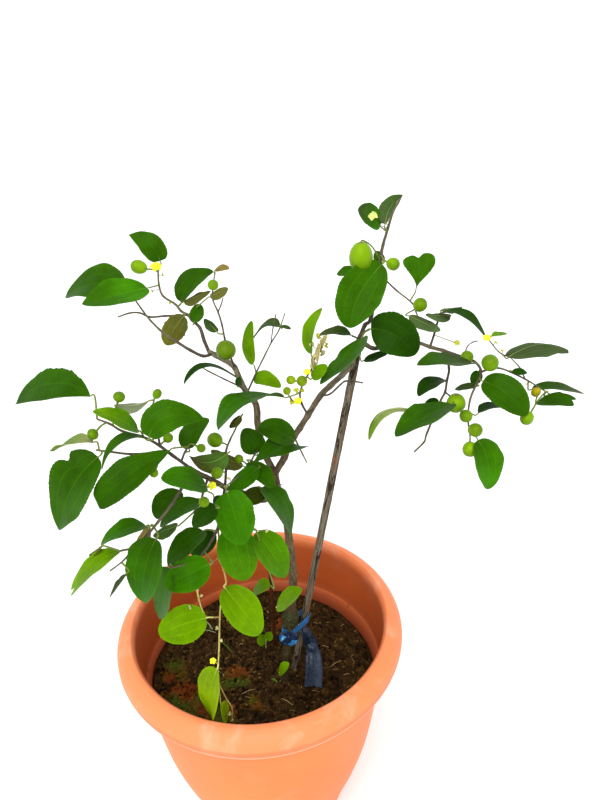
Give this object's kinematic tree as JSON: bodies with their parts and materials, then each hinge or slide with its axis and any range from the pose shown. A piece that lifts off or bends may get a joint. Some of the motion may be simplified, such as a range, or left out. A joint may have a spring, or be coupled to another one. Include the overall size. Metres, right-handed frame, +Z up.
{
  "type": "potted jujube tree",
  "caption": "Young jujube tree with green fruit and small yellow flowers in a round terracotta-coloured plastic pot of soil, tied to a wooden stake.",
  "frame": {"origin": "centre of the pot's flat underside", "axes": "+Z up along the pot's axis; -Y towards the viewer, the front of the tree; +X to the viewer's right"},
  "size_m": [0.4433, 0.3447, 0.6734],
  "materials": {
    "pot_plastic": "satin moulded, terracotta colour",
    "soil": "damp crumbly potting soil with moss",
    "bark": "grey-brown bark",
    "stake_wood": "weathered wood",
    "stick_wood": "dark red-brown twig",
    "tape_plastic": "thin plastic tape",
    "foliage": "glossy green leaves, grey-green beneath",
    "young_foliage": "light yellow-green young leaves"
  },
  "bodies": {
    "root": {"pot": "pot_plastic", "seedling": "young_foliage", "shoot_foot": "young_foliage", "shoot_graft": "young_foliage", "soil": "soil", "spray_canopy_inner": "foliage", "spray_canopy_left": "foliage", "spray_canopy_rise": "foliage", "spray_canopy_top": "foliage", "spray_crown": "foliage", "spray_far_end": "foliage", "spray_fruiting": "foliage", "spray_hanging": "young_foliage", "spray_left_back": "foliage", "spray_left_down": "foliage", "spray_left_inner": "foliage", "spray_left_low": "foliage", "spray_left_top": "foliage", "spray_low_front": "foliage", "spray_low_left": "foliage", "spray_low_middle": "foliage", "spray_middle": "foliage", "spray_right_fork": "foliage", "spray_side_down": "foliage", "spray_side_up": "foliage", "spray_trunk_fork": "foliage", "spray_trunk_front": "foliage", "spray_trunk_left": "foliage", "stake": "stake_wood", "thin_stick": "stick_wood", "tie_tape": "tape_plastic", "trunk": "bark"}
  },
  "joints": []
}
